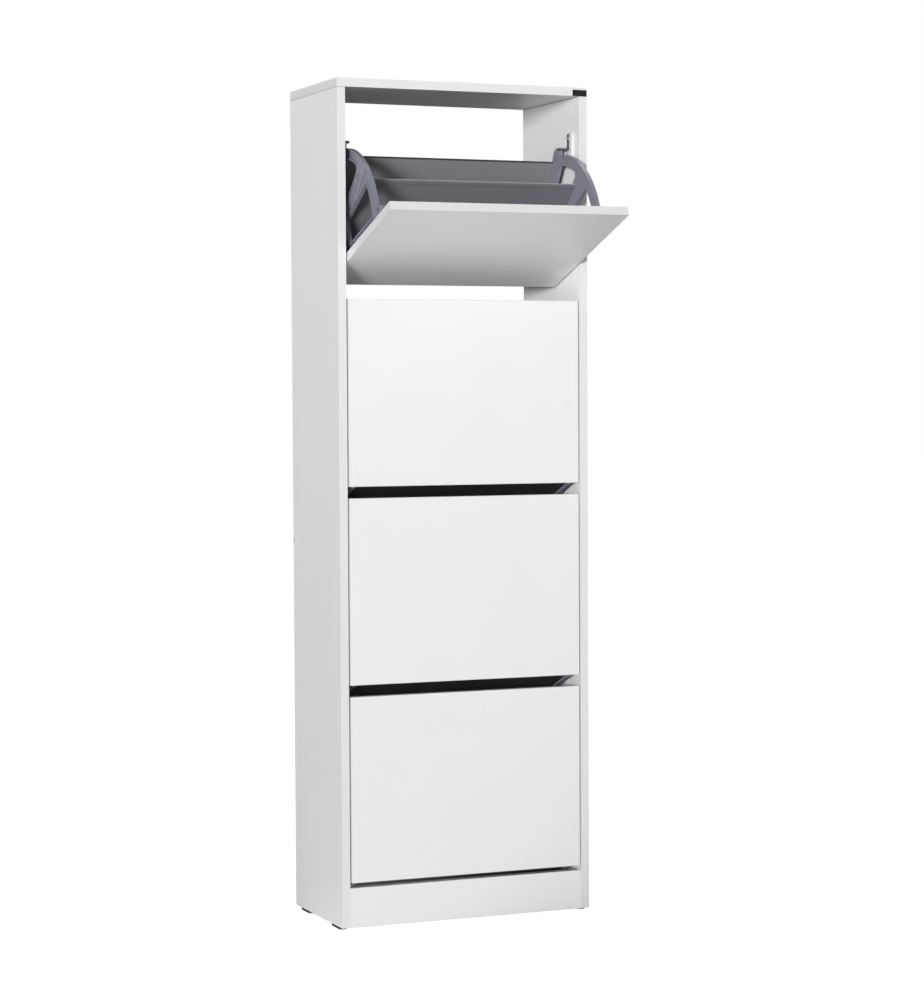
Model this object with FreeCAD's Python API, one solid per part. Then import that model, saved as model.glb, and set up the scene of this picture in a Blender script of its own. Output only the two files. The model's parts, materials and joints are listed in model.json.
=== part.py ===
import FreeCAD, Part
import math
import os

from FreeCAD import Vector

# Shoe cabinet with four tilting flaps, in millimetres.
# X runs to the right, Y runs to the back and Z runs up. The origin is on the floor, in the middle
# of the ground that the cabinet covers with its top flap open.
# Inside a bay, "depth" is measured back from the front face of the cabinet and "rise" is measured
# up from the bottom edge of that bay's closed door.
# Bay 1 is the top one and stands open; bays 2 to 4 are closed.

# ---- carcass ----
WIDTH = 500.0
DEPTH = 257.0
BOARD = 16.0
FOOT_HEIGHT = 5.0
SIDE_HEIGHT = 1536.0
PLINTH_HEIGHT = 73.0
RAIL_HEIGHT = 80.0
MIDDLE_RAIL_BASE = 661.0
LOWER_RAIL_BASE = 40.0

# ---- flaps ----
BAYS = 4
OPEN_BAY = 1
OPEN_ANGLE = 70.0
DOOR_WIDTH = 462.0
DOOR_HEIGHT = 342.4
DOOR_PITCH = 363.8
LOWEST_DOOR_BASE = 82.0
PIVOT_DEPTH = 45.7
PIVOT_RISE = 78.7

# ---- flank (moulded side plate of a bin) ----
FLANK_OUTER_X = 222.0
FLANK_INNER_X = 214.0
FLANK_WEB = 4.0
FLANK_RIM = 3.0
FLANK_RIB_HALF = 1.0
FLANK_RIB_ANGLES = (60, 105, 150, 200, 240)
ARC_RADIUS = 176.0
FLANK_TOE = (16.0, -2.5)
FLANK_HEEL = (100.9, -38.0)
FLANK_HEEL_ROUNDING = 10.0
FLANK_REAR_TOP = (213.3, 105.9)
HUB_RADIUS = 12.0
HUB_OUTER_X = 231.0
FLANGE_INNER_X = 198.0
FLANGE_THICKNESS = 2.5
FLANGE_LOW = 4.0
FLANGE_HIGH = 248.0

# ---- hook and lug, which meet the stop peg at the two ends of the swing ----
STOP_PLAY_ANGLE = 0.2
HOOK_RADIUS = 191.0
HOOK_SPAN_ANGLE = 4.5
HOOK_SHOULDER = (226.6, 118.0)
HOOK_NECK = (222.9, 114.0)
LUG_RADIUS = 193.0
LUG_SPAN_ANGLE = 6.0
STOP_ROOT = 10.0

# ---- windows of a flank ----
WINDOW_ARC = 156.0
REAR_WINDOW_LOW = 8.0
REAR_WINDOW_WEB_GAP = 10.5
REAR_WINDOW_SPOKE = 28.0
REAR_WINDOW_ROUNDING = 9.0
FRONT_WINDOW_DEPTH = 35.0
FRONT_WINDOW_LOW = 104.0
FRONT_WINDOW_WEB_GAP = 33.6
FRONT_WINDOW_FLARE = 14.0
FRONT_WINDOW_ROUNDING = 4.0
FRONT_WINDOW_FOOT_ROUNDING = 6.0

# ---- sheets of a bin ----
SHEET = 2.0
SHEET_INSET = 4.0
SHEET_JOINT = 2.5
SLOT_PLAY = 0.1
RIB_WALL = 2.2
LIP_HEIGHT = 8.0
LIP_FOLD = 2.2
LIP_SIDE_GAP = 0.5
DIVIDER_TOP = (131.0, 185.4)
DIVIDER_SLOPE = 65.0
REAR_SHEET_TOP_RISE = 109.0

# ---- pivot ----
PIN_RADIUS = 4.0
PIN_PLAY = 0.05
PIN_END_GAP = 2.0
PIN_CHAMFER = 0.6
BUSH_RADIUS = 6.0
BUSH_FLANGE_RADIUS = 9.0
BUSH_FLANGE = 2.0
BUSH_DEPTH = 11.0
BUSH_END_WALL = 1.0

# ---- stop bracket ----
STOP_FRONT = 23.5
STOP_LOW = 252.0
STOP_HIGH = 296.5
STOP_RAIL_WIDTH = 8.0
STOP_FOOT_HEIGHT = 10.5
STOP_REAR = 70.0
STOP_PLATE = 2.0
STOP_STAND_OFF = 5.5
STOP_OVERLAP = 4.0
CLIP_GAP = 0.5
CLIP_SEAT_PLAY = 0.2
CLIP_WIDTH = 10.0
CLIP_FOOT_BACK = 62.0
CLIP_FOOT_MARGIN = 0.5
CLIP_TOP_MARGIN = 1.0
PEG_DEPTH = 44.0
PEG_RISE = 266.5
PEG_RADIUS = 2.5
PEG_CHAMFER = 0.8
PEG_INNER_X = 210.0
CLIP_SCREW_DROP = 10.0
FOOT_SCREW_RISE = 5.0

# ---- fasteners ----
SCREW_RADIUS = 1.75
SCREW_HEAD_RADIUS = 3.6
SCREW_HEAD = 2.2
DOOR_SCREW_LENGTH = 12.0
DOOR_SCREW_RISES = (26.0, 140.0, 236.0)
STOP_SCREW_LENGTH = 15.0
CONNECTOR_HEAD_RADIUS = 5.0
CONNECTOR_SHANK_RADIUS = 3.5
CONNECTOR_THREAD_RADIUS = 2.5
CONNECTOR_HEAD = 3.0
CONNECTOR_LENGTH = 50.0
CONNECTOR_SOCKET_RADIUS = 2.0
CONNECTOR_SOCKET_DEPTH = 2.5
CAP_RADIUS = 6.5
CAP_HEIGHT = 1.0
CAM_RADIUS = 7.5
CAM_DEPTH = 12.5
CAM_SETBACK = 34.0
CAM_DROP = 12.0
CAM_SLOT = 9.75
CAM_SLOT_DEPTH = 1.5
CAM_BOLT_RADIUS = 3.0
CAM_BOLT_BITE = 10.0
CAM_BOLT_CLEARANCE = 1.2
CAM_BOLT_TIP = 1.0
DOWEL_RADIUS = 4.0
DOWEL_LENGTH = 30.0
DOWEL_BITE = 10.0
DOWEL_LIFT = 18.0
TOP_SCREW_SETBACK = 40.0
TOP_DOWEL_SETBACK = 75.0

# ---- trim ----
FOOT_LENGTH = 50.0
FOOT_FRONT_GAP = 14.0
FOOT_BACK_GAP = 24.5
FOOT_CHAMFER = 0.8
BADGE_WIDTH = 29.0
BADGE_HEIGHT = 11.5
BADGE_THICKNESS = 1.2

# ---- worked out from the dimensions above ----
X_AXIS = Vector(1, 0, 0)
Y_AXIS = Vector(0, 1, 0)
Z_AXIS = Vector(0, 0, 1)
SIDES = {"left": -1, "right": 1}
INSIDE_X = WIDTH / 2 - BOARD
WEB_OUTER_X = FLANK_INNER_X + FLANK_WEB
SHEET_END_X = FLANK_OUTER_X - FLANK_RIM
SWING = math.radians(OPEN_ANGLE)
OPEN_REACH = (DOOR_HEIGHT - PIVOT_RISE) * math.sin(SWING) - PIVOT_DEPTH * (1 - math.cos(SWING))
FRONT_Y = (OPEN_REACH - DEPTH) / 2
BACK_Y = FRONT_Y + DEPTH
TOP_BASE = FOOT_HEIGHT + SIDE_HEIGHT
PEG_REACH = math.hypot(PEG_DEPTH - PIVOT_DEPTH, PEG_RISE - PIVOT_RISE)
PEG_ANGLE = math.degrees(math.atan2(PEG_RISE - PIVOT_RISE, PEG_DEPTH - PIVOT_DEPTH))
PEG_HALF_ANGLE = math.degrees(math.asin(PEG_RADIUS / PEG_REACH)) + STOP_PLAY_ANGLE
HOOK_ANGLE = PEG_ANGLE - PEG_HALF_ANGLE - OPEN_ANGLE
LUG_ANGLE = PEG_ANGLE + PEG_HALF_ANGLE
CLIP_FRONT = STOP_FRONT + STOP_RAIL_WIDTH + CLIP_GAP
CLIP_LOW = STOP_LOW + STOP_FOOT_HEIGHT + CLIP_GAP

os.makedirs("parts", exist_ok=True)


# ---- small geometry helpers ----
def save(name, shape):
    shape.exportStep("parts/" + name + ".step")


def group(solids):
    return Part.makeCompound(solids)


def block(x, y, z):
    """Box given by its low and high limits on each axis."""
    sizes = [high - low for low, high in (x, y, z)]
    return Part.makeBox(sizes[0], sizes[1], sizes[2], Vector(x[0], y[0], z[0]))


def rod(radius, start, end):
    """Round bar between two points."""
    run = end - start
    return Part.makeCylinder(radius, run.Length, start, run)


def mirror_to(side, shape):
    """Shapes are drawn for the right-hand side; the left one is their mirror image."""
    if side == 1:
        return shape
    return shape.mirror(Vector(0, 0, 0), X_AXIS)


def rounded_wire(corners, x):
    """Closed outline in the plane at x; each corner is (depth, rise, radius)."""
    edges = []
    first = None
    last = None
    count = len(corners)
    for index, (depth, rise, radius) in enumerate(corners):
        here = Vector(x, depth, rise)
        before = Vector(x, corners[index - 1][0], corners[index - 1][1])
        following = corners[(index + 1) % count]
        after = Vector(x, following[0], following[1])
        into = (before - here).normalize()
        out = (after - here).normalize()
        start = here
        end = here
        arc = None
        if radius > 0:
            half = into.getAngle(out) / 2
            start = here + into * (radius / math.tan(half))
            end = here + out * (radius / math.tan(half))
            bisector = (into + out).normalize()
            middle = here + bisector * (radius / math.sin(half) - radius)
            arc = Part.Arc(start, middle, end).toShape()
        if last is not None and (start - last).Length > 1e-6:
            edges.append(Part.LineSegment(last, start).toShape())
        if arc is not None:
            edges.append(arc)
        if first is None:
            first = start
        last = end
    if (first - last).Length > 1e-6:
        edges.append(Part.LineSegment(last, first).toShape())
    return Part.Wire(edges)


def prism(corners, x_low, x_high):
    """Solid between two x planes with a rounded outline."""
    face = Part.Face(rounded_wire(corners, x_low))
    return face.extrude(Vector(x_high - x_low, 0, 0))


def sharp(points):
    return [(depth, rise, 0) for depth, rise in points]


def from_pivot(radius, degrees):
    """Point at a radius and angle about the pivot; 0 points back and 90 points up."""
    angle = math.radians(degrees)
    return (PIVOT_DEPTH + radius * math.cos(angle), PIVOT_RISE + radius * math.sin(angle))


def disc(radius, x_low, x_high, depth=PIVOT_DEPTH, rise=PIVOT_RISE):
    return rod(radius, Vector(x_low, depth, rise), Vector(x_high, depth, rise))


def along(start, degrees, distance):
    angle = math.radians(degrees)
    return (start[0] + distance * math.cos(angle), start[1] + distance * math.sin(angle))


def strip(start, degrees, length, below, above, x_low, x_high):
    """Flat bar along a slanted line, from so far below the line to so far above it."""
    corners = []
    for distance, lift in ((0, -below), (length, -below), (length, above), (0, above)):
        corners.append(along(along(start, degrees, distance), degrees + 90, lift))
    return prism(sharp(corners), x_low, x_high)


def crossing(start_a, degrees_a, start_b, degrees_b):
    """Point where two slanted lines meet."""
    ax = math.cos(math.radians(degrees_a))
    az = math.sin(math.radians(degrees_a))
    bx = math.cos(math.radians(degrees_b))
    bz = math.sin(math.radians(degrees_b))
    across = (start_b[0] - start_a[0]) * bz - (start_b[1] - start_a[1]) * bx
    return along(start_a, degrees_a, across / (ax * bz - az * bx))


# ---- lines of the bin's sheets, worked out from the flank's outline ----
FLOOR_SLOPE = math.degrees(math.atan2(FLANK_HEEL[1] - FLANK_TOE[1], FLANK_HEEL[0] - FLANK_TOE[0]))
REAR_SLOPE = math.degrees(
    math.atan2(FLANK_REAR_TOP[1] - FLANK_HEEL[1], FLANK_REAR_TOP[0] - FLANK_HEEL[0])
)
FLOOR_LINE = along(FLANK_TOE, FLOOR_SLOPE + 90, SHEET_INSET)
REAR_LINE = along(FLANK_HEEL, REAR_SLOPE + 90, SHEET_INSET)
HEEL_POINT = crossing(FLOOR_LINE, FLOOR_SLOPE, REAR_LINE, REAR_SLOPE)
FLOOR_START = along(FLOOR_LINE, FLOOR_SLOPE, FLANGE_THICKNESS + 2)
FLOOR_SLANT = math.dist(FLOOR_START, HEEL_POINT)
REAR_START = along(HEEL_POINT, REAR_SLOPE, SHEET_JOINT)
REAR_SLANT = (REAR_SHEET_TOP_RISE - REAR_START[1]) / math.sin(math.radians(REAR_SLOPE))
DIVIDER_FOOT = crossing(FLOOR_LINE, FLOOR_SLOPE, DIVIDER_TOP, DIVIDER_SLOPE)
DIVIDER_START = along(DIVIDER_FOOT, DIVIDER_SLOPE, SHEET_JOINT)
DIVIDER_SLANT = math.dist(DIVIDER_START, DIVIDER_TOP)


def door_base(bay):
    return FOOT_HEIGHT + LOWEST_DOOR_BASE + (BAYS - bay) * DOOR_PITCH


def in_bay(bay, shape):
    """Carry a shape from bay measures into the cabinet's frame, with its flap still closed."""
    placed = shape.copy()
    placed.translate(Vector(0, FRONT_Y, door_base(bay)))
    return placed


def on_flap(bay, shape):
    """Carry a shape of the tilting bin into the cabinet's frame, open in the open bay."""
    placed = in_bay(bay, shape)
    if bay == OPEN_BAY:
        pivot = Vector(0, FRONT_Y + PIVOT_DEPTH, door_base(bay) + PIVOT_RISE)
        placed.rotate(pivot, X_AXIS, OPEN_ANGLE)
    return placed


# ---- fasteners ----
def cross_recess(centre, axis, size, depth):
    """Cross-shaped driver recess cut into a head, from its top at centre back along the axis."""
    arms = []
    for turn in (0, 90):
        arm = Part.makeBox(size, size / 4, depth, Vector(-size / 2, -size / 8, -depth))
        arm.rotate(Vector(0, 0, 0), Z_AXIS, turn)
        arms.append(arm)
    cross = arms[0].fuse(arms[1])
    cross.Placement = FreeCAD.Placement(centre, FreeCAD.Rotation(Z_AXIS, axis))
    return cross


def pan_screw(seat, axis, length):
    """Pan-head screw; its head stands on seat and its shank runs back along the axis."""
    head = rod(SCREW_HEAD_RADIUS, seat, seat + axis * SCREW_HEAD)
    head = head.makeFillet(SCREW_HEAD / 2, [head.Edges[0]])
    shank = rod(SCREW_RADIUS, seat, seat - axis * length)
    recess = cross_recess(seat + axis * SCREW_HEAD, axis, SCREW_HEAD_RADIUS, SCREW_HEAD / 2)
    return head.fuse(shank).cut(recess)


def screw_hole(seat, axis, length):
    return rod(SCREW_RADIUS, seat, seat - axis * length)


def door_screw_seats():
    """Seats of the screws that hold both flank flanges to the back of the door."""
    middle = (FLANGE_INNER_X + FLANK_INNER_X) / 2
    seats = []
    for side in SIDES.values():
        for rise in DOOR_SCREW_RISES:
            seats.append(Vector(side * middle, BOARD + FLANGE_THICKNESS, rise))
    return seats


# ---- parts of one tilting bin, drawn closed ----
def door_panel():
    door = block((-DOOR_WIDTH / 2, DOOR_WIDTH / 2), (0, BOARD), (0, DOOR_HEIGHT))
    for seat in door_screw_seats():
        door = door.cut(screw_hole(seat, Y_AXIS, DOOR_SCREW_LENGTH))
    return door


def lug_corners():
    """Corners of the lug; its face, which meets the peg in the closed pose, lies at LUG_ANGLE."""
    root = ARC_RADIUS - STOP_ROOT
    last_angle = LUG_ANGLE + LUG_SPAN_ANGLE
    return [
        from_pivot(root, LUG_ANGLE) + (0,),
        from_pivot(LUG_RADIUS, LUG_ANGLE) + (1.5,),
        from_pivot(LUG_RADIUS, last_angle) + (3,),
        from_pivot(root, last_angle) + (0,),
    ]


def flank_outline_solid(x_low, x_high):
    """Full-thickness flank with its arc, rear hook and front lug, without windows."""
    toe = (FLANK_TOE[0], FLANK_TOE[1], 0)
    heel = (FLANK_HEEL[0], FLANK_HEEL[1], FLANK_HEEL_ROUNDING)
    rear = (FLANK_REAR_TOP[0], FLANK_REAR_TOP[1], 0)
    high = PIVOT_RISE + ARC_RADIUS + STOP_ROOT
    body = prism([toe, heel, rear, (rear[0], high, 0), (toe[0], high, 0)], x_low, x_high)
    body = body.common(disc(ARC_RADIUS, x_low, x_high))
    under = along(FLANK_REAR_TOP, REAR_SLOPE + 180, 2 * STOP_ROOT)
    hook_root = from_pivot(ARC_RADIUS - STOP_ROOT, HOOK_ANGLE)
    hook = prism(
        [
            hook_root + (0,),
            from_pivot(HOOK_RADIUS, HOOK_ANGLE) + (1.5,),
            from_pivot(HOOK_RADIUS, HOOK_ANGLE - HOOK_SPAN_ANGLE) + (3,),
            HOOK_SHOULDER + (4,),
            HOOK_NECK + (4,),
            FLANK_REAR_TOP + (0,),
            under + (0,),
        ],
        x_low,
        x_high,
    )
    lug = prism(lug_corners(), x_low, x_high)
    return body.fuse(hook).fuse(lug).removeSplitter()


def window_rear(x_low, x_high):
    """Rear window: bounded by the arm, the divider's web and the rear spoke."""
    front_line = along(DIVIDER_TOP, DIVIDER_SLOPE - 90, REAR_WINDOW_WEB_GAP)
    rear_line = along(REAR_LINE, REAR_SLOPE + 90, REAR_WINDOW_SPOKE)
    level = (0.0, REAR_WINDOW_LOW)
    low_front = crossing(level, 0, front_line, DIVIDER_SLOPE)
    low_rear = crossing(level, 0, rear_line, REAR_SLOPE)
    corners = [
        low_front + (REAR_WINDOW_ROUNDING,),
        low_rear + (REAR_WINDOW_ROUNDING,),
        along(low_rear, REAR_SLOPE, DOOR_HEIGHT) + (0,),
        along(low_front, DIVIDER_SLOPE, DOOR_HEIGHT) + (0,),
    ]
    window = prism(corners, x_low, x_high).common(disc(WINDOW_ARC, x_low, x_high))
    return round_outer_corners(window, REAR_WINDOW_ROUNDING)


def window_front(x_low, x_high):
    """Front window: bounded by the arm, the door spoke and the divider's web."""
    web_line = along(DIVIDER_TOP, DIVIDER_SLOPE + 90, FRONT_WINDOW_WEB_GAP)
    web_slope = DIVIDER_SLOPE + FRONT_WINDOW_FLARE
    low_rear = crossing((0.0, FRONT_WINDOW_LOW), 0, web_line, web_slope)
    corners = [
        (FRONT_WINDOW_DEPTH, FRONT_WINDOW_LOW, FRONT_WINDOW_FOOT_ROUNDING),
        low_rear + (FRONT_WINDOW_FOOT_ROUNDING,),
        along(low_rear, web_slope, DOOR_HEIGHT) + (0,),
        (FRONT_WINDOW_DEPTH, DOOR_HEIGHT, 0),
    ]
    window = prism(corners, x_low, x_high).common(disc(WINDOW_ARC, x_low, x_high))
    return round_outer_corners(window, FRONT_WINDOW_ROUNDING)


def round_outer_corners(window, radius):
    """Round the two corners that a window has on its arc."""
    corners = []
    for edge in window.Edges:
        start, end = edge.Vertexes[0].Point, edge.Vertexes[-1].Point
        lies_along_x = abs(start.x - end.x) > 0.5 and abs(start.z - end.z) < 1e-6
        reach = math.hypot(start.y - PIVOT_DEPTH, start.z - PIVOT_RISE)
        if lies_along_x and reach > WINDOW_ARC - 0.5:
            corners.append(edge)
    return window.makeFillet(radius, corners)


def flank_plan_face():
    """Plan of the right flank with its windows, in the plane where its web ends."""
    layer = (WEB_OUTER_X, WEB_OUTER_X + 1)
    solid = flank_outline_solid(*layer)
    solid = solid.cut(window_rear(*layer))
    solid = solid.cut(window_front(*layer))
    faces = [face for face in solid.Faces if abs(face.CenterOfMass.x - WEB_OUTER_X) < 1e-6]
    return faces[0]


def sheet_runs(extra, x_high):
    """The three sheets' ends up to an x plane, grown by an extra on every side."""
    half = SHEET / 2 + extra
    runs = []
    for start, slope, length in (
        (FLOOR_START, FLOOR_SLOPE, FLOOR_SLANT),
        (REAR_START, REAR_SLOPE, REAR_SLANT),
        (DIVIDER_START, DIVIDER_SLOPE, DIVIDER_SLANT),
    ):
        grown_start = along(start, slope, -extra)
        grown_length = length + 2 * extra
        runs.append(
            strip(grown_start, slope, grown_length, half, half, FLANK_INNER_X - 1, x_high)
        )
    return runs


def flank():
    """Right flank of a closed bin: web, rim, rib channels, hub and door flange in one moulding.

    The inner face is plain; the ribs and the channels' walls stand on the outer side.
    """
    solid = flank_outline_solid(FLANK_INNER_X, FLANK_OUTER_X)
    solid = solid.cut(window_rear(FLANK_INNER_X - 1, FLANK_OUTER_X + 1))
    solid = solid.cut(window_front(FLANK_INNER_X - 1, FLANK_OUTER_X + 1))

    hollow_face = flank_plan_face().makeOffset2D(-FLANK_RIM)
    hollow = hollow_face.extrude(Vector(FLANK_OUTER_X + 1 - WEB_OUTER_X, 0, 0))
    for channel in sheet_runs(RIB_WALL, FLANK_OUTER_X + 1):
        hollow = hollow.cut(channel)
    hollow = hollow.cut(disc(HUB_RADIUS, FLANK_INNER_X, FLANK_OUTER_X + 1))
    pivot = (PIVOT_DEPTH, PIVOT_RISE)
    half = FLANK_RIB_HALF
    for degrees in FLANK_RIB_ANGLES:
        rib = strip(pivot, degrees, ARC_RADIUS, half, half, FLANK_INNER_X, FLANK_OUTER_X + 1)
        hollow = hollow.cut(rib)
    solid = solid.cut(hollow)
    for slot in sheet_runs(SLOT_PLAY, SHEET_END_X):
        solid = solid.cut(slot)

    hub = disc(HUB_RADIUS, FLANK_INNER_X, HUB_OUTER_X)
    flange = block(
        (FLANGE_INNER_X, FLANK_INNER_X), (BOARD, BOARD + FLANGE_THICKNESS), (FLANGE_LOW, FLANGE_HIGH)
    )
    solid = solid.fuse(hub).fuse(flange).removeSplitter()
    solid = solid.cut(disc(PIN_RADIUS, FLANK_INNER_X - 1, HUB_OUTER_X + 1))
    for seat in door_screw_seats():
        if seat.x > 0:
            solid = solid.cut(screw_hole(seat, Y_AXIS, DOOR_SCREW_LENGTH))
    return solid


def pivot_pin():
    """Steel pin pressed into the flank's hub and turning in the side panel's bush."""
    pin = disc(PIN_RADIUS, FLANK_INNER_X, INSIDE_X + BUSH_DEPTH - PIN_END_GAP)
    return pin.makeChamfer(PIN_CHAMFER, [pin.Edges[0], pin.Edges[2]])


def bin_sheet(start, degrees, length):
    """Flat sheet whose ends sit in the flanks' channels."""
    half = SHEET / 2
    return strip(start, degrees, length, half, half, -SHEET_END_X, SHEET_END_X)


def with_lip(sheet, start, degrees, length, front_fold, back_fold):
    """Add the folded lip that stiffens a sheet's top edge, thick to the front or to the back."""
    lip_x = FLANK_INNER_X - LIP_SIDE_GAP
    lip_start = along(start, degrees, length - LIP_HEIGHT)
    below = SHEET / 2 + back_fold
    above = SHEET / 2 + front_fold
    lip = strip(lip_start, degrees, LIP_HEIGHT, below, above, -lip_x, lip_x)
    return sheet.fuse(lip).removeSplitter()


def rear_sheet():
    sheet = bin_sheet(REAR_START, REAR_SLOPE, REAR_SLANT)
    return with_lip(sheet, REAR_START, REAR_SLOPE, REAR_SLANT, 0, LIP_FOLD)


def divider_sheet():
    sheet = bin_sheet(DIVIDER_START, DIVIDER_SLOPE, DIVIDER_SLANT)
    return with_lip(sheet, DIVIDER_START, DIVIDER_SLOPE, DIVIDER_SLANT, LIP_FOLD, 0)


def floor_sheet():
    return bin_sheet(FLOOR_START, FLOOR_SLOPE, FLOOR_SLANT)


# ---- fixed parts in each bay ----
def pivot_bush():
    """Flanged plastic bush in the right side panel."""
    bush = disc(BUSH_RADIUS, INSIDE_X, INSIDE_X + BUSH_DEPTH)
    flange = disc(BUSH_FLANGE_RADIUS, INSIDE_X - BUSH_FLANGE, INSIDE_X)
    bore_end = INSIDE_X + BUSH_DEPTH - BUSH_END_WALL
    bore = disc(PIN_RADIUS + PIN_PLAY, INSIDE_X - BUSH_FLANGE - 1, bore_end)
    return bush.fuse(flange).removeSplitter().cut(bore)


def stop_screw_seats():
    """Seats of the two screws of a right-hand stop bracket, on the faces they clamp."""
    face_x = INSIDE_X - STOP_STAND_OFF
    middle = CLIP_FRONT + CLIP_WIDTH / 2
    clip_screw = Vector(face_x, middle, STOP_HIGH - CLIP_SCREW_DROP)
    foot_screw = Vector(face_x, middle, STOP_LOW + FOOT_SCREW_RISE)
    return [clip_screw, foot_screw]


def clip_outline(grow):
    """J-shaped outline of the clip: an upright shank and a foot that carries the peg."""
    front = CLIP_FRONT - grow
    shank_back = CLIP_FRONT + CLIP_WIDTH + grow
    low = CLIP_LOW - grow
    foot_top = PEG_RISE + PEG_RADIUS + CLIP_FOOT_MARGIN + grow
    back = CLIP_FOOT_BACK + grow
    high = STOP_HIGH - CLIP_TOP_MARGIN + grow
    return [
        (front, low, 5),
        (back, low, 2.5),
        (back, foot_top, 2.5),
        (shank_back, foot_top, 2),
        (shank_back, high, 4),
        (front, high, 4),
    ]


def stop_base():
    """White base plate of the right-hand stop, with a raised rail in front and a raised foot."""
    inner = INSIDE_X - STOP_STAND_OFF
    plate = INSIDE_X - STOP_PLATE
    step = STOP_OVERLAP
    corners = [
        (STOP_FRONT, STOP_LOW, 2),
        (STOP_REAR, STOP_LOW, 4),
        (STOP_REAR, CLIP_LOW + step, 2),
        (CLIP_FRONT + step, CLIP_LOW + step, 1),
        (CLIP_FRONT + step, STOP_HIGH, 1),
        (STOP_FRONT, STOP_HIGH, 2),
    ]
    raised = prism(corners, inner, INSIDE_X)
    raised = raised.cut(prism(clip_outline(CLIP_SEAT_PLAY), inner - 1, plate))
    backing = prism(clip_outline(0), plate, INSIDE_X)
    base = raised.fuse(backing).removeSplitter()
    for seat in stop_screw_seats():
        base = base.cut(screw_hole(seat, -X_AXIS, STOP_SCREW_LENGTH))
    return base


def stop_clip():
    """J-shaped clip with the peg that the flank's hook and lug meet at the ends of the swing."""
    plate = INSIDE_X - STOP_PLATE
    clip = prism(clip_outline(0), INSIDE_X - STOP_STAND_OFF, plate)
    peg = disc(PEG_RADIUS, PEG_INNER_X, plate, PEG_DEPTH, PEG_RISE)
    tip = [edge for edge in peg.Edges if abs(edge.CenterOfMass.x - PEG_INNER_X) < 0.1]
    clip = clip.fuse(peg.makeChamfer(PEG_CHAMFER, tip)).removeSplitter()
    return clip.cut(screw_hole(stop_screw_seats()[0], -X_AXIS, STOP_SCREW_LENGTH))


# ---- carcass hardware, worked out for the right-hand side ----
def connector_seats():
    """Faces over the connector screws: where each cap sits, its outward axis, how deep it sinks."""
    seats = []
    for y in (FRONT_Y + TOP_SCREW_SETBACK, BACK_Y - TOP_SCREW_SETBACK):
        face = Vector(WIDTH / 2 - BOARD / 2, y, TOP_BASE + BOARD - CAP_HEIGHT)
        seats.append((face, Z_AXIS))
    rail_middle = FOOT_HEIGHT + MIDDLE_RAIL_BASE + RAIL_HEIGHT / 2
    seats.append((Vector(WIDTH / 2, BACK_Y - BOARD / 2, rail_middle), X_AXIS))
    return seats


def connector_lines():
    """Ends of a connector screw's head, shank and thread, from each seat inwards."""
    lines = []
    for seat, axis in connector_seats():
        head_end = seat - axis * CONNECTOR_HEAD
        shank_end = seat - axis * (BOARD - 2 * CAP_HEIGHT)
        thread_end = seat - axis * CONNECTOR_LENGTH
        lines.append((seat, axis, head_end, shank_end, thread_end))
    return lines


def connector_body(axis, head_end, shank_end, thread_end):
    """Countersunk head, shank and thread of a connector screw, which its bore copies."""
    radii = (CONNECTOR_SHANK_RADIUS, CONNECTOR_HEAD_RADIUS)
    head = Part.makeCone(radii[0], radii[1], CONNECTOR_HEAD, head_end, axis)
    shank = rod(CONNECTOR_SHANK_RADIUS, head_end, shank_end)
    thread = rod(CONNECTOR_THREAD_RADIUS, shank_end, thread_end)
    return head.fuse(shank).fuse(thread)


def connector_screw(seat, axis, head_end, shank_end, thread_end):
    """Connector screw with a hexagon socket, its head just under its cap."""
    body = connector_body(axis, head_end, shank_end, thread_end)
    corners = Part.makePolygon(hexagon(seat, axis, CONNECTOR_SOCKET_RADIUS))
    socket = Part.Face(Part.Wire(corners)).extrude(axis * -CONNECTOR_SOCKET_DEPTH)
    return body.cut(socket)


def hexagon(centre, axis, radius):
    """Corners of a hexagon across an axis, the first one repeated to close it."""
    across = Y_AXIS
    other = axis.cross(across)
    corners = []
    for step in range(7):
        angle = math.radians(60 * step)
        offset = across * (radius * math.cos(angle)) + other * (radius * math.sin(angle))
        corners.append(centre + offset)
    return corners


def screw_cap(seat, axis):
    """Plastic cap over a connector screw's head; flush in the top panel, proud on the sides."""
    cap = rod(CAP_RADIUS, seat, seat + axis * CAP_HEIGHT)
    rim = [edge for edge in cap.Edges if (edge.CenterOfMass - seat).Length > CAP_HEIGHT * 0.9]
    return cap.makeFillet(CAP_HEIGHT / 2, rim[:1])


def cam_joints():
    """Cam places on the right-hand side: middle of the cam's open face and its direction."""
    plinth_rise = FOOT_HEIGHT + PLINTH_HEIGHT / 2 - CAM_DROP
    rail_rise = FOOT_HEIGHT + LOWER_RAIL_BASE + RAIL_HEIGHT / 2 - CAM_DROP
    cam_x = INSIDE_X - CAM_SETBACK
    joints = []
    joints.append((Vector(cam_x, FRONT_Y + BOARD, plinth_rise), Y_AXIS))
    joints.append((Vector(cam_x, BACK_Y - BOARD, rail_rise), -Y_AXIS))
    return joints


def cam_bolt_line(face_point, axis):
    """Start and end of the bolt that a cam pulls, in the middle of the board's thickness."""
    centre = face_point - axis * (BOARD / 2)
    return centre + X_AXIS * CAM_BOLT_TIP, Vector(INSIDE_X + CAM_BOLT_BITE, centre.y, centre.z)


def cam_lock(face_point, axis):
    """Zinc cam with a driver slot in its face and a hollow for the bolt's head."""
    cam = rod(CAM_RADIUS, face_point, face_point - axis * CAM_DEPTH)
    start, end = cam_bolt_line(face_point, axis)
    hollow_start = start - X_AXIS * CAM_BOLT_RADIUS
    hollow_end = start + X_AXIS * (CAM_RADIUS + CAM_BOLT_TIP)
    hollow = rod(CAM_BOLT_RADIUS + CAM_BOLT_CLEARANCE, hollow_start, hollow_end)
    recess = cross_recess(face_point, axis, CAM_SLOT, CAM_SLOT_DEPTH)
    return cam.cut(hollow).cut(recess)


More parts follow.
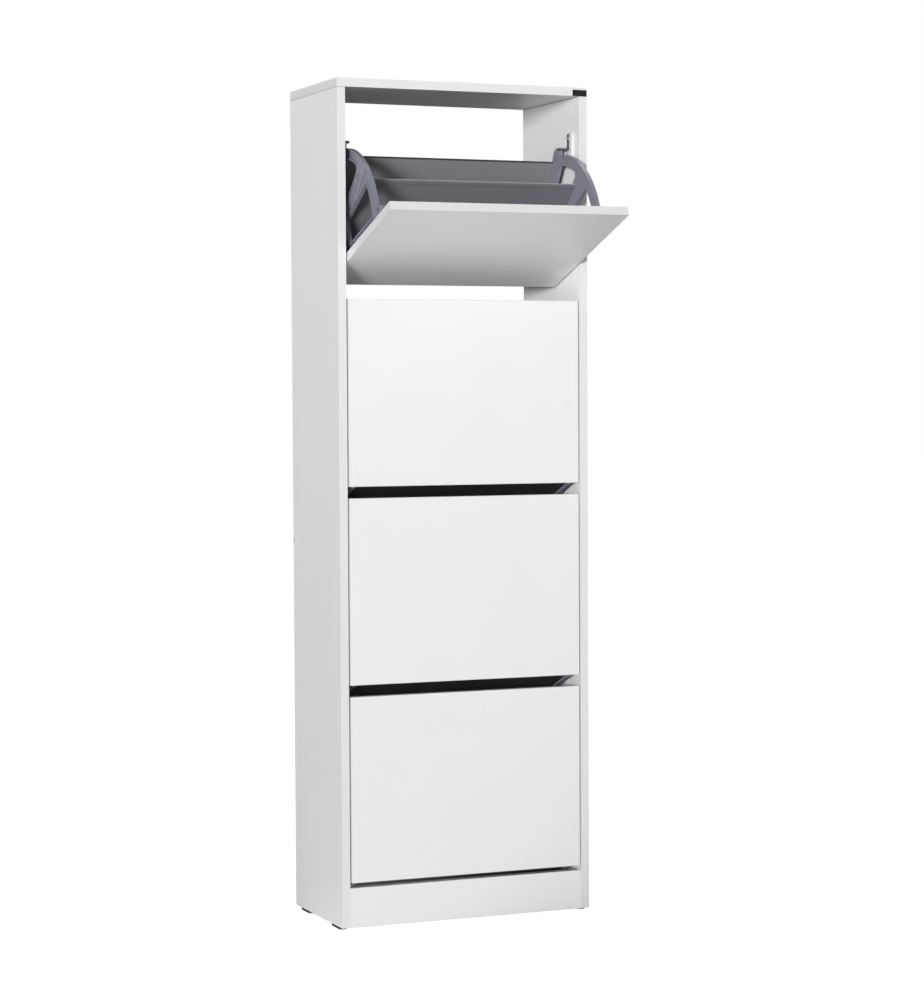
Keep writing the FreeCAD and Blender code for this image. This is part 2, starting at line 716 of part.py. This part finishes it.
def cam_bolt(face_point, axis):
    start, end = cam_bolt_line(face_point, axis)
    return rod(CAM_BOLT_RADIUS, start, end)


def dowel_lines():
    """Start and end of each right-hand dowel, which bites a little into the far board."""
    inside = INSIDE_X - DOWEL_LENGTH + DOWEL_BITE
    front = FRONT_Y + BOARD / 2
    back = BACK_Y - BOARD / 2
    lines = []
    for y in (FRONT_Y + TOP_DOWEL_SETBACK, BACK_Y - TOP_DOWEL_SETBACK):
        low = Vector(WIDTH / 2 - BOARD / 2, y, TOP_BASE - DOWEL_LENGTH + DOWEL_BITE)
        lines.append((low, Z_AXIS))
    for y, middle in (
        (front, PLINTH_HEIGHT / 2),
        (back, LOWER_RAIL_BASE + RAIL_HEIGHT / 2),
        (back, MIDDLE_RAIL_BASE + RAIL_HEIGHT / 2),
    ):
        lines.append((Vector(inside, y, FOOT_HEIGHT + middle + DOWEL_LIFT), X_AXIS))
    return [(start, start + axis * DOWEL_LENGTH) for start, axis in lines]


def right_hardware():
    """Solids of the carcass's right-hand hardware, by node name."""
    connectors = [connector_screw(*line) for line in connector_lines()]
    caps = [screw_cap(seat, axis) for seat, axis in connector_seats()]
    cams = [cam_lock(point, axis) for point, axis in cam_joints()]
    bolts = [cam_bolt(point, axis) for point, axis in cam_joints()]
    dowels = [rod(DOWEL_RADIUS, start, end) for start, end in dowel_lines()]
    return {
        "connector_screws": connectors,
        "screw_caps": caps,
        "cam_locks": cams,
        "cam_bolts": bolts,
        "wooden_dowels": dowels,
    }


def right_bores():
    """Everything that is bored out of the boards for the right-hand hardware."""
    bores = []
    for seat, axis, head_end, shank_end, thread_end in connector_lines():
        bores.append(connector_body(axis, head_end, shank_end, thread_end))
        bores.append(rod(CAP_RADIUS, seat, seat + axis * CAP_HEIGHT))
    for point, axis in cam_joints():
        bores.append(rod(CAM_RADIUS, point, point - axis * CAM_DEPTH))
        bores.append(cam_bolt(point, axis))
    for start, end in dowel_lines():
        bores.append(rod(DOWEL_RADIUS, start, end))
    return bores


def bored(board, side):
    """Cut a side's hardware bores out of a board."""
    for bore in right_bores():
        cutter = mirror_to(side, bore)
        if cutter.BoundBox.intersect(board.BoundBox):
            board = board.cut(cutter)
    return board


# ---- boards ----
def side_panel():
    """Right side panel with its bush bores and the pilot holes of its stop brackets."""
    panel = block((INSIDE_X, WIDTH / 2), (FRONT_Y, BACK_Y), (FOOT_HEIGHT, TOP_BASE))
    panel = bored(panel, 1)
    for bay in range(1, BAYS + 1):
        panel = panel.cut(in_bay(bay, disc(BUSH_RADIUS, INSIDE_X, INSIDE_X + BUSH_DEPTH)))
        for seat in stop_screw_seats():
            panel = panel.cut(in_bay(bay, screw_hole(seat, -X_AXIS, STOP_SCREW_LENGTH)))
    return panel


def cross_board(y_low, z_low, height):
    """Board between the side panels, bored at both ends."""
    board = block((-INSIDE_X, INSIDE_X), (y_low, y_low + BOARD), (z_low, z_low + height))
    return bored(bored(board, 1), -1)


def top_panel():
    board = block((-WIDTH / 2, WIDTH / 2), (FRONT_Y, BACK_Y), (TOP_BASE, TOP_BASE + BOARD))
    return bored(bored(board, 1), -1)


# ---- trim ----
def glide_foot(centre_x, y_low):
    """Low black glide with rounded ends under a side panel."""
    radius = BOARD / 2
    low = Vector(centre_x, y_low + radius, 0)
    high = Vector(centre_x, y_low + FOOT_LENGTH - radius, 0)
    lift = Z_AXIS * FOOT_HEIGHT
    ends = rod(radius, low, low + lift).fuse(rod(radius, high, high + lift))
    middle = block((centre_x - radius, centre_x + radius), (low.y, high.y), (0, FOOT_HEIGHT))
    foot = ends.fuse(middle).removeSplitter()
    sole = [edge for edge in foot.Edges if edge.BoundBox.ZMax < 1e-6]
    return foot.makeChamfer(FOOT_CHAMFER, sole)


def glide_feet():
    feet = []
    for side in SIDES.values():
        centre_x = side * (WIDTH / 2 - BOARD / 2)
        feet.append(glide_foot(centre_x, FRONT_Y + FOOT_FRONT_GAP))
        feet.append(glide_foot(centre_x, BACK_Y - FOOT_BACK_GAP - FOOT_LENGTH))
    return feet


def badge_plate():
    """Blank plate at the right end of the top panel's front edge, level with its underside."""
    return block(
        (WIDTH / 2 - BADGE_WIDTH, WIDTH / 2),
        (FRONT_Y - BADGE_THICKNESS, FRONT_Y),
        (TOP_BASE, TOP_BASE + BADGE_HEIGHT),
    )


# ---- write every node ----
def save_carcass():
    """Boards, feet, badge and hardware; the rails stand against the back edges."""
    rail_y = BACK_Y - BOARD
    middle_z = FOOT_HEIGHT + MIDDLE_RAIL_BASE
    lower_z = FOOT_HEIGHT + LOWER_RAIL_BASE
    for name, side in SIDES.items():
        save(name + "_side_panel", mirror_to(side, side_panel()))
    save("top_panel", top_panel())
    save("plinth_panel", cross_board(FRONT_Y, FOOT_HEIGHT, PLINTH_HEIGHT))
    save("middle_back_rail", cross_board(rail_y, middle_z, RAIL_HEIGHT))
    save("lower_back_rail", cross_board(rail_y, lower_z, RAIL_HEIGHT))
    save("glide_feet", group(glide_feet()))
    save("badge_plate", badge_plate())
    for node, solids in right_hardware().items():
        left_solids = [mirror_to(-1, solid) for solid in solids]
        save(node, group(solids + left_solids))


def save_bay_fittings():
    """Pivot bushes and stop brackets on both side panels of every bay."""
    bushes = {"left": [], "right": []}
    clips = {"left": [], "right": []}
    screws = []
    for bay in range(1, BAYS + 1):
        for name, side in SIDES.items():
            bushes[name].append(in_bay(bay, mirror_to(side, pivot_bush())))
            clips[name].append(in_bay(bay, mirror_to(side, stop_clip())))
            save("%s_stop_base_%d" % (name, bay), in_bay(bay, mirror_to(side, stop_base())))
            for seat in stop_screw_seats():
                screw = pan_screw(seat, -X_AXIS, STOP_SCREW_LENGTH)
                screws.append(in_bay(bay, mirror_to(side, screw)))
    for name in SIDES:
        save(name + "_pivot_bushes", group(bushes[name]))
        save(name + "_stop_clips", group(clips[name]))
    save("stop_bracket_screws", group(screws))


def save_bin(bay):
    """The door, flanks, sheets, pins and screws that tilt together in one bay."""
    save("door_panel_%d" % bay, on_flap(bay, door_panel()))
    for name, side in SIDES.items():
        save("%s_flank_%d" % (name, bay), on_flap(bay, mirror_to(side, flank())))
    save("rear_sheet_%d" % bay, on_flap(bay, rear_sheet()))
    save("divider_sheet_%d" % bay, on_flap(bay, divider_sheet()))
    save("floor_sheet_%d" % bay, on_flap(bay, floor_sheet()))
    pins = [on_flap(bay, mirror_to(side, pivot_pin())) for side in SIDES.values()]
    save("pivot_pins_%d" % bay, group(pins))
    seats = door_screw_seats()
    screws = [on_flap(bay, pan_screw(seat, Y_AXIS, DOOR_SCREW_LENGTH)) for seat in seats]
    save("flank_screws_%d" % bay, group(screws))


save_carcass()
save_bay_fittings()
for bay_number in range(1, BAYS + 1):
    save_bin(bay_number)
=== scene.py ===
import json
import math

import bpy
from mathutils import Matrix, Vector


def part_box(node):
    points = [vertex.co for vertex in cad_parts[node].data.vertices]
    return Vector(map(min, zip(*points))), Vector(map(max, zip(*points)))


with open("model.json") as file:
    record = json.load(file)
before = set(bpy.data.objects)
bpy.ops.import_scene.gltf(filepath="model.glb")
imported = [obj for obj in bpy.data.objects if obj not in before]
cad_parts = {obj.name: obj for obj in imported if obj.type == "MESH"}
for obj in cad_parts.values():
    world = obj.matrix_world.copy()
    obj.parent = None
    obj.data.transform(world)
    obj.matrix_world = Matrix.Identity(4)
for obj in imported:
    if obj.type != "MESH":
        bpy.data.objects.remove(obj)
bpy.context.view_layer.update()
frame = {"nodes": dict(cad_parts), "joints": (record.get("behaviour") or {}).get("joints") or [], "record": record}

# ---- sizes in metres ----
EDGE_BAND = 0.0008
SEAM_WIDTH = 0.00022
JOINT_SHADE_WIDTH = 0.0013
DIVIDER_LIP_WIDTH = 0.0022
REAR_LIP_WIDTH = 0.005
WELD_REACH = 0.00001

# ---- angles ----
OPEN_TURN = math.radians(70)
FLAT_WITHIN = math.radians(0.5)
SHARP_FROM = math.radians(30)

# ---- colours, linear ----
WHITE_BOARD = (0.80, 0.80, 0.805, 1)
WHITE_BAND = (0.735, 0.735, 0.74, 1)
SEAM_GREY = (0.62, 0.62, 0.63, 1)
# painted shade for the joint groove between the top panel and the upright boards
JOINT_SHADE_GREY = (0.34, 0.34, 0.35, 1)
FLANK_GREY = (0.218, 0.222, 0.268, 1)
SHEET_GREY = (0.225, 0.226, 0.242, 1)
# painted shade: the dividers are the rear sheets' plastic, coloured darker because they face forward and down
DIVIDER_SHADED_GREY = (0.178, 0.177, 0.198, 1)
# painted highlight along the dividers' rounded top lip
DIVIDER_LIP_HIGHLIGHT = (0.44, 0.44, 0.46, 1)
# painted shade along the rear sheets' folded top lip
REAR_LIP_SHADE = (0.035, 0.035, 0.04, 1)
BASE_BLACK = (0.018, 0.018, 0.020, 1)
CLIP_GREY = (0.10, 0.10, 0.115, 1)
FOOT_BLACK = (0.012, 0.012, 0.013, 1)
BADGE_BLACK = (0.014, 0.011, 0.011, 1)
NYLON = (0.72, 0.71, 0.67, 1)
MOULDED_WHITE = (0.66, 0.66, 0.66, 1)
STEEL = (0.56, 0.56, 0.57, 1)
ZINC = (0.48, 0.48, 0.49, 1)
BEECH_LIGHT = (0.56, 0.36, 0.19, 1)
BEECH_DARK = (0.36, 0.20, 0.09, 1)

# ---- floor: what is seen of it, and the light that it throws up on the cabinet ----
FLOOR_HALF_SIZE = 30.0
FLOOR_GREY = (0.12, 0.12, 0.12, 1)
FLOOR_GLOW = 0.98
FLOOR_BOUNCE = 0.56
FLOOR_DARK = 0.03
FADE_TOWARD = (0.6, 0.8, 0)
FADE_START = -0.15
FADE_END = 0.2

# ---- room and lights ----
SWEEP_WHITE = (1, 1, 1, 1)
ROOM_TINT = (0.98, 0.98, 1, 1)
BRIGHT_SIDE = (-0.5, -0.9, -0.1)
ROOM_DARK = 0.05
ROOM_BRIGHT = 0.35
DARK_UP_TO = -0.3
BRIGHT_FROM = 0.9
KEY_TOWARD = (-0.647, -0.763, 0.035)
KEY_STRENGTH = 3.7
KEY_WIDTH = math.radians(14)
RIM_TOWARD = (0.5, 0.8, 1.1)
RIM_STRENGTH = 2.0
RIM_WIDTH = math.radians(50)

# ---- camera: the eye in metres, its aim, and the lens in millimetres ----
EYE_X = -1.9198
EYE_BEFORE_FRONT = 4.5639
EYE_HEIGHT = 0.980
CAMERA_YAW = math.radians(22.527)
CAMERA_PITCH = math.radians(-2.240)
CAMERA_ROLL = math.radians(-0.304)
CAMERA_LENS = 96.07
CAMERA_SENSOR = 36.0
CAMERA_SHIFT = 0.0093


# ---- material helpers ----
class Shader:
    """One procedural material; most methods add nodes and return their outputs."""

    def __init__(self, name, roughness, metallic=0.0, specular=0.5):
        self.material = bpy.data.materials.new(name)
        self.material.use_nodes = True
        self.nodes = self.material.node_tree.nodes
        self.links = self.material.node_tree.links
        self.surface = self.nodes["Principled BSDF"]
        self.surface.inputs["Roughness"].default_value = roughness
        self.surface.inputs["Metallic"].default_value = metallic
        self.surface.inputs["Specular IOR Level"].default_value = specular
        self.place = self.nodes.new("ShaderNodeTexCoord").outputs["Object"]
        self.normal = None

    def feed(self, value, socket):
        """Link an output to a socket, or set the socket to a plain value."""
        if isinstance(value, bpy.types.NodeSocket):
            self.links.new(value, socket)
        else:
            socket.default_value = value

    def math(self, operation, first, second=0.0):
        node = self.nodes.new("ShaderNodeMath")
        node.operation = operation
        self.feed(first, node.inputs[0])
        self.feed(second, node.inputs[1])
        return node.outputs[0]

    def noise(self, scale, detail, stretch=(1, 1, 1)):
        """Noise from 0 to 1; the scale is in waves per metre."""
        mapping = self.nodes.new("ShaderNodeMapping")
        mapping.inputs["Scale"].default_value = stretch
        self.links.new(self.place, mapping.inputs["Vector"])
        node = self.nodes.new("ShaderNodeTexNoise")
        node.inputs["Scale"].default_value = scale
        node.inputs["Detail"].default_value = detail
        self.links.new(mapping.outputs[0], node.inputs["Vector"])
        return node.outputs["Fac"]

    def mix(self, factor, first, second):
        node = self.nodes.new("ShaderNodeMix")
        node.data_type = "RGBA"
        self.feed(factor, node.inputs["Factor"])
        self.feed(first, node.inputs["A"])
        self.feed(second, node.inputs["B"])
        return node.outputs["Result"]

    def span(self, value, low, high, to_low=0.0, to_high=1.0):
        """Map a range smoothly to another range."""
        node = self.nodes.new("ShaderNodeMapRange")
        node.interpolation_type = "SMOOTHSTEP"
        self.feed(value, node.inputs["Value"])
        self.feed(low, node.inputs["From Min"])
        self.feed(high, node.inputs["From Max"])
        self.feed(to_low, node.inputs["To Min"])
        self.feed(to_high, node.inputs["To Max"])
        return node.outputs["Result"]

    def axes(self):
        """The place's X, Y and Z."""
        node = self.nodes.new("ShaderNodeSeparateXYZ")
        self.links.new(self.place, node.inputs[0])
        return node.outputs

    def turn_place(self, pivot, angle):
        """Turn the place about an X axis through the pivot."""
        node = self.nodes.new("ShaderNodeVectorRotate")
        node.rotation_type = "X_AXIS"
        node.inputs["Center"].default_value = pivot
        node.inputs["Angle"].default_value = angle
        self.links.new(self.place, node.inputs["Vector"])
        self.place = node.outputs[0]

    def colour(self, value):
        self.feed(value, self.surface.inputs["Base Color"])

    def roughness(self, value):
        self.feed(value, self.surface.inputs["Roughness"])

    def bump(self, height, depth, strength):
        """Raise the surface by a height from 0 to 1, depth metres at most; calls add up."""
        node = self.nodes.new("ShaderNodeBump")
        node.inputs["Strength"].default_value = strength
        node.inputs["Distance"].default_value = depth
        self.links.new(height, node.inputs["Height"])
        if self.normal is not None:
            self.links.new(self.normal, node.inputs["Normal"])
        self.normal = node.outputs["Normal"]
        self.links.new(self.normal, self.surface.inputs["Normal"])


def toned(colour, factor):
    """The same colour, darker below 1 and lighter above it."""
    return tuple(channel * factor for channel in colour[:3]) + (1,)


# ---- materials ----
def distance_to_edge(shader, axes, low, high, thin_axis):
    """How far a place on a board's face lies inside the board's outline."""
    distances = []
    for axis in range(3):
        if axis == thin_axis:
            continue
        centre = (low[axis] + high[axis]) / 2
        half = (high[axis] - low[axis]) / 2
        offset = shader.math("ABSOLUTE", shader.math("SUBTRACT", axes[axis], centre))
        distances.append(shader.math("SUBTRACT", half, offset))
    return shader.math("MINIMUM", distances[0], distances[1])


def board_material(name, low, high, thin_axis, turn=None):
    """White melamine board with an edge band round it, for one board's box.

    low and high are the board's corners before it is turned; turn is (pivot, angle about X).
    """
    shader = Shader(name, roughness=0.4, specular=0.42)
    if turn is not None:
        shader.turn_place(*turn)

    axes = shader.axes()
    edge = distance_to_edge(shader, axes, low, high, thin_axis)
    on_face = shader.span(edge, EDGE_BAND - SEAM_WIDTH, EDGE_BAND)
    off_seam = shader.math("ABSOLUTE", shader.math("SUBTRACT", edge, EDGE_BAND))
    seam = shader.span(off_seam, SEAM_WIDTH * 0.3, SEAM_WIDTH, to_low=1.0, to_high=0.0)

    cloud = shader.noise(scale=7, detail=3)
    face_tone = shader.mix(cloud, toned(WHITE_BOARD, 0.975), toned(WHITE_BOARD, 1.02))
    banded = shader.mix(on_face, WHITE_BAND, face_tone)
    tone = shader.mix(seam, banded, SEAM_GREY)
    if thin_axis == 0:
        # painted shade: an upright board is darkened in a fine line where it meets the top panel, standing in for
        # the shade in the joint groove
        under_top = shader.math("SUBTRACT", high[2], axes[2])
        joint = shader.span(under_top, JOINT_SHADE_WIDTH * 0.6, JOINT_SHADE_WIDTH, to_low=1.0, to_high=0.0)
        tone = shader.mix(joint, tone, JOINT_SHADE_GREY)
    shader.colour(tone)

    pearl = shader.noise(scale=620, detail=3)
    face_roughness = shader.span(pearl, 0.25, 0.75, to_low=0.36, to_high=0.46)
    on_band = shader.math("SUBTRACT", 1.0, on_face)
    band_gloss = shader.math("MULTIPLY", on_band, 0.08)
    shader.roughness(shader.math("SUBTRACT", face_roughness, band_gloss))
    shader.bump(pearl, depth=0.00012, strength=0.35)
    shader.bump(shader.noise(scale=45, detail=2), depth=0.0004, strength=0.12)
    shader.bump(shader.math("SUBTRACT", 1.0, seam), depth=0.00012, strength=0.8)
    return shader.material


def moulded_material(name, colour, roughness, grain_scale=900):
    """Injection-moulded plastic: fine spark-eroded grain, faint flow clouds, small scuffs."""
    shader = Shader(name, roughness)
    cloud = shader.noise(scale=30, detail=3)
    tone = shader.mix(cloud, toned(colour, 0.9), toned(colour, 1.1))
    scuffs = shader.span(shader.noise(scale=140, detail=4, stretch=(1, 0.25, 1)), 0.62, 0.72)
    shader.colour(shader.mix(shader.math("MULTIPLY", scuffs, 0.35), tone, toned(colour, 1.35)))
    grain = shader.noise(scale=grain_scale, detail=2)
    shader.roughness(shader.span(grain, 0.2, 0.8, roughness - 0.06, roughness + 0.08))
    shader.bump(grain, depth=0.00008, strength=0.5)
    shader.bump(shader.noise(scale=25, detail=1), depth=0.0006, strength=0.15)
    return shader.material


def sheet_material(name, colour, lip_highlight_and_shade, lip_width):
    """Extruded grey plastic for the sheet of that name: satin, with faint drawing lines along it.

    Its lip, the highest strip of it at rest, is painted with a tone of its own: a painted highlight on the
    dividers, painted shade on the rear sheets.
    """
    shader = Shader(name, roughness=0.34, specular=0.55)
    lines = shader.noise(scale=90, detail=2, stretch=(0.02, 1, 1))
    cloud = shader.noise(scale=5, detail=2)
    tone = shader.mix(cloud, toned(colour, 0.93), toned(colour, 1.08))
    drawn = shader.mix(shader.math("MULTIPLY", lines, 0.25), tone, toned(colour, 1.2))
    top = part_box(name)[1][2]
    lip = shader.span(shader.axes()[2], top - lip_width, top - lip_width / 2)
    # paint the lip strip with the painted highlight or painted shade passed in
    shader.colour(shader.mix(lip, drawn, lip_highlight_and_shade))
    satin = shader.noise(scale=300, detail=2)
    shader.roughness(shader.span(satin, 0.2, 0.8, to_low=0.30, to_high=0.40))
    shader.bump(lines, depth=0.0003, strength=0.25)
    shader.bump(shader.noise(scale=12, detail=1), depth=0.002, strength=0.15)
    return shader.material


def metal_material(name, colour, roughness, line_scale, line_depth, stretch=(1, 1, 1)):
    """Turned, plated or cast metal with fine tool lines."""
    shader = Shader(name, roughness, metallic=1.0)
    lines = shader.noise(scale=line_scale, detail=3, stretch=stretch)
    shader.colour(shader.mix(lines, toned(colour, 0.85), toned(colour, 1.12)))
    shader.roughness(shader.span(lines, 0.2, 0.8, roughness - 0.08, roughness + 0.1))
    shader.bump(lines, line_depth, strength=0.5)
    return shader.material


def beech_material():
    """Beech dowel: grain along the dowel's length."""
    shader = Shader("beech", roughness=0.6, specular=0.3)
    grain = shader.noise(scale=260, detail=5, stretch=(0.12, 1, 1))
    shader.colour(shader.mix(shader.span(grain, 0.35, 0.68), BEECH_LIGHT, BEECH_DARK))
    shader.bump(grain, depth=0.0002, strength=0.6)
    return shader.material


def floor_material():
    """A white sweep for the camera; what it throws up on the cabinet comes from its front left."""
    shader = Shader("studio_floor", roughness=0.9, specular=0.0)
    shader.colour(FLOOR_GREY)
    shader.surface.inputs["Emission Color"].default_value = SWEEP_WHITE
    shader.surface.inputs["Emission Strength"].default_value = FLOOR_GLOW

    nodes = shader.nodes
    links = shader.links
    along = nodes.new("ShaderNodeVectorMath")
    along.operation = "DOT_PRODUCT"
    along.inputs[1].default_value = FADE_TOWARD
    links.new(shader.place, along.inputs[0])
    bounce = nodes.new("ShaderNodeEmission")
    fade = shader.span(along.outputs["Value"], FADE_START, FADE_END, FLOOR_BOUNCE, FLOOR_DARK)
    links.new(fade, bounce.inputs["Strength"])

    choose = nodes.new("ShaderNodeMixShader")
    links.new(nodes.new("ShaderNodeLightPath").outputs["Is Camera Ray"], choose.inputs["Fac"])
    links.new(bounce.outputs[0], choose.inputs[1])
    links.new(shader.surface.outputs[0], choose.inputs[2])
    links.new(choose.outputs[0], nodes["Material Output"].inputs["Surface"])
    return shader.material


# ---- finish of the CAD nodes ----
BOARD_THIN_AXES = {
    "left_side_panel": 0,
    "right_side_panel": 0,
    "top_panel": 2,
    "plinth_panel": 1,
    "middle_back_rail": 1,
    "lower_back_rail": 1,
    "door_panel_2": 1,
    "door_panel_3": 1,
    "door_panel_4": 1,
}
EDGE_ROUNDING = {
    "carcass_board": 0.0009,
    "door_board": 0.0007,
    "flank_plastic": 0.0005,
    "sheet_plastic": 0.0005,
    "floor_plastic": 0.0005,
    "clip_plastic": 0.0005,
    "white_plastic": 0.0005,
    "bush_plastic": 0.0004,
    "pin_steel": 0.0002,
    "screw_steel": 0.0002,
    "cam_zinc": 0.0003,
    "dowel_beech": 0.0008,
    "foot_plastic": 0.0006,
    "badge_plate": 0.0003,
}


def soften(obj, width):
    """Weld the loose facets of a CAD node and round its edges."""
    weld = obj.modifiers.new("weld", "WELD")
    weld.merge_threshold = WELD_REACH
    flat = obj.modifiers.new("flat", "DECIMATE")
    flat.decimate_type = "DISSOLVE"
    flat.angle_limit = FLAT_WITHIN
    bevel = obj.modifiers.new("edges", "BEVEL")
    bevel.width = width
    bevel.segments = 2
    bevel.limit_method = "ANGLE"
    bevel.angle_limit = SHARP_FROM
    bevel.use_clamp_overlap = True
    shading = obj.modifiers.new("shading", "WEIGHTED_NORMAL")
    shading.weight = 100
    for polygon in obj.data.polygons:
        polygon.use_smooth = True


def paint(obj, material):
    obj.data.materials.clear()
    obj.data.materials.append(material)


def joint_pivot(name):
    for joint in frame["joints"]:
        if joint["name"] == name:
            return Vector(joint["pos_m"])
    raise ValueError(name)


def finish_boards():
    """Each board gets a material that knows where its own edges are."""
    for name, thin_axis in BOARD_THIN_AXES.items():
        low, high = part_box(name)
        paint(frame["nodes"][name], board_material(name + "_board", low, high, thin_axis))

    # the top door rests open: its edges are those of the closed door below, lifted and turned
    pivot = joint_pivot("flap_1_tilt")
    lift = pivot - joint_pivot("flap_2_tilt")
    low, high = [Vector(corner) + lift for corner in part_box("door_panel_2")]
    thin_axis = BOARD_THIN_AXES["door_panel_2"]
    turn = (pivot, -OPEN_TURN)
    door = board_material("door_panel_1_board", low, high, thin_axis, turn)
    paint(frame["nodes"]["door_panel_1"], door)


def finish_nodes():
    """Round every CAD node's edges and give it the material of its slot."""
    slots = {part["node"]: part["material_slot"] for part in frame["record"]["subparts"]}
    materials = {
        "flank_plastic": moulded_material("grey_flank", FLANK_GREY, 0.42),
        "floor_plastic": moulded_material("black_base", BASE_BLACK, 0.5),
        "clip_plastic": moulded_material("dark_clip", CLIP_GREY, 0.4),
        "white_plastic": moulded_material("white_moulded", MOULDED_WHITE, 0.38),
        "bush_plastic": moulded_material("nylon", NYLON, 0.45),
        "pin_steel": metal_material("turned_steel", STEEL, 0.28, 2400, 0.00003, (1, 0.05, 0.05)),
        "screw_steel": metal_material("plated_steel", STEEL, 0.32, 700, 0.00004),
        "cam_zinc": metal_material("cast_zinc", ZINC, 0.42, 420, 0.0001),
        "dowel_beech": beech_material(),
        "foot_plastic": moulded_material("black_foot", FOOT_BLACK, 0.5),
        "badge_plate": moulded_material("black_badge", BADGE_BLACK, 0.25, grain_scale=300),
    }
    for name, obj in frame["nodes"].items():
        slot = slots[name]
        soften(obj, EDGE_ROUNDING[slot])
        if name.startswith("divider_sheet"):
            # the dividers get a darker copy of the rear sheets' plastic, as painted shade
            paint(obj, sheet_material(name, DIVIDER_SHADED_GREY, DIVIDER_LIP_HIGHLIGHT, DIVIDER_LIP_WIDTH))
        elif name.startswith("rear_sheet"):
            paint(obj, sheet_material(name, SHEET_GREY, REAR_LIP_SHADE, REAR_LIP_WIDTH))
        elif slot in materials:
            paint(obj, materials[slot])
    finish_boards()


# ---- stage, light and camera ----
def make_floor():
    size = FLOOR_HALF_SIZE
    mesh = bpy.data.meshes.new("studio_floor")
    corners = [(-size, -size, 0), (size, -size, 0), (size, size, 0), (-size, size, 0)]
    mesh.from_pydata(corners, [], [(0, 1, 2, 3)])
    floor = bpy.data.objects.new("studio_floor", mesh)
    bpy.context.collection.objects.link(floor)
    floor.data.materials.append(floor_material())


def make_room():
    """A white sweep seen by the camera, and a studio that is bright in front and dark behind."""
    world = bpy.data.worlds.new("studio")
    bpy.context.scene.world = world
    world.use_nodes = True
    nodes = world.node_tree.nodes
    links = world.node_tree.links

    direction = nodes.new("ShaderNodeTexCoord").outputs["Generated"]
    toward = nodes.new("ShaderNodeVectorMath")
    toward.operation = "DOT_PRODUCT"
    toward.inputs[1].default_value = Vector(BRIGHT_SIDE).normalized()
    links.new(direction, toward.inputs[0])
    ramp = nodes.new("ShaderNodeMapRange")
    ramp.interpolation_type = "SMOOTHSTEP"
    ramp.inputs["From Min"].default_value = DARK_UP_TO
    ramp.inputs["From Max"].default_value = BRIGHT_FROM
    ramp.inputs["To Min"].default_value = ROOM_DARK
    ramp.inputs["To Max"].default_value = ROOM_BRIGHT
    links.new(toward.outputs["Value"], ramp.inputs["Value"])
    room = nodes["Background"]
    room.inputs["Color"].default_value = ROOM_TINT
    links.new(ramp.outputs["Result"], room.inputs["Strength"])

    sweep = nodes.new("ShaderNodeBackground")
    sweep.inputs["Color"].default_value = SWEEP_WHITE
    choose = nodes.new("ShaderNodeMixShader")
    links.new(nodes.new("ShaderNodeLightPath").outputs["Is Camera Ray"], choose.inputs["Fac"])
    links.new(room.outputs[0], choose.inputs[1])
    links.new(sweep.outputs[0], choose.inputs[2])
    links.new(choose.outputs[0], nodes["World Output"].inputs["Surface"])


def soft_sun(name, toward, strength, width):
    """Even, soft light from one direction; width is the light's apparent size, an angle."""
    data = bpy.data.lights.new(name, "SUN")
    data.energy = strength
    data.angle = width
    light = bpy.data.objects.new(name, data)
    light.rotation_euler = Vector(toward).to_track_quat("Z", "Y").to_euler()
    bpy.context.collection.objects.link(light)


def make_camera():
    """The eye stands to the left in front of the cabinet, a little under two thirds of its height."""
    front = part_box("left_side_panel")[0][1]
    eye = Vector((EYE_X, front - EYE_BEFORE_FRONT, EYE_HEIGHT))
    data = bpy.data.cameras.new("camera")
    data.lens = CAMERA_LENS
    data.sensor_width = CAMERA_SENSOR
    data.shift_x = CAMERA_SHIFT
    camera = bpy.data.objects.new("camera", data)
    yaw = Matrix.Rotation(-CAMERA_YAW, 4, "Z")
    pitch = Matrix.Rotation(math.pi / 2 + CAMERA_PITCH, 4, "X")
    roll = Matrix.Rotation(CAMERA_ROLL, 4, "Z")
    camera.matrix_world = Matrix.Translation(eye) @ yaw @ pitch @ roll
    bpy.context.collection.objects.link(camera)
    bpy.context.scene.camera = camera


finish_nodes()
make_floor()
make_room()
soft_sun("key_light", KEY_TOWARD, KEY_STRENGTH, KEY_WIDTH)
soft_sun("rim_light", RIM_TOWARD, RIM_STRENGTH, RIM_WIDTH)
make_camera()
bpy.context.scene.view_settings.view_transform = "Standard"
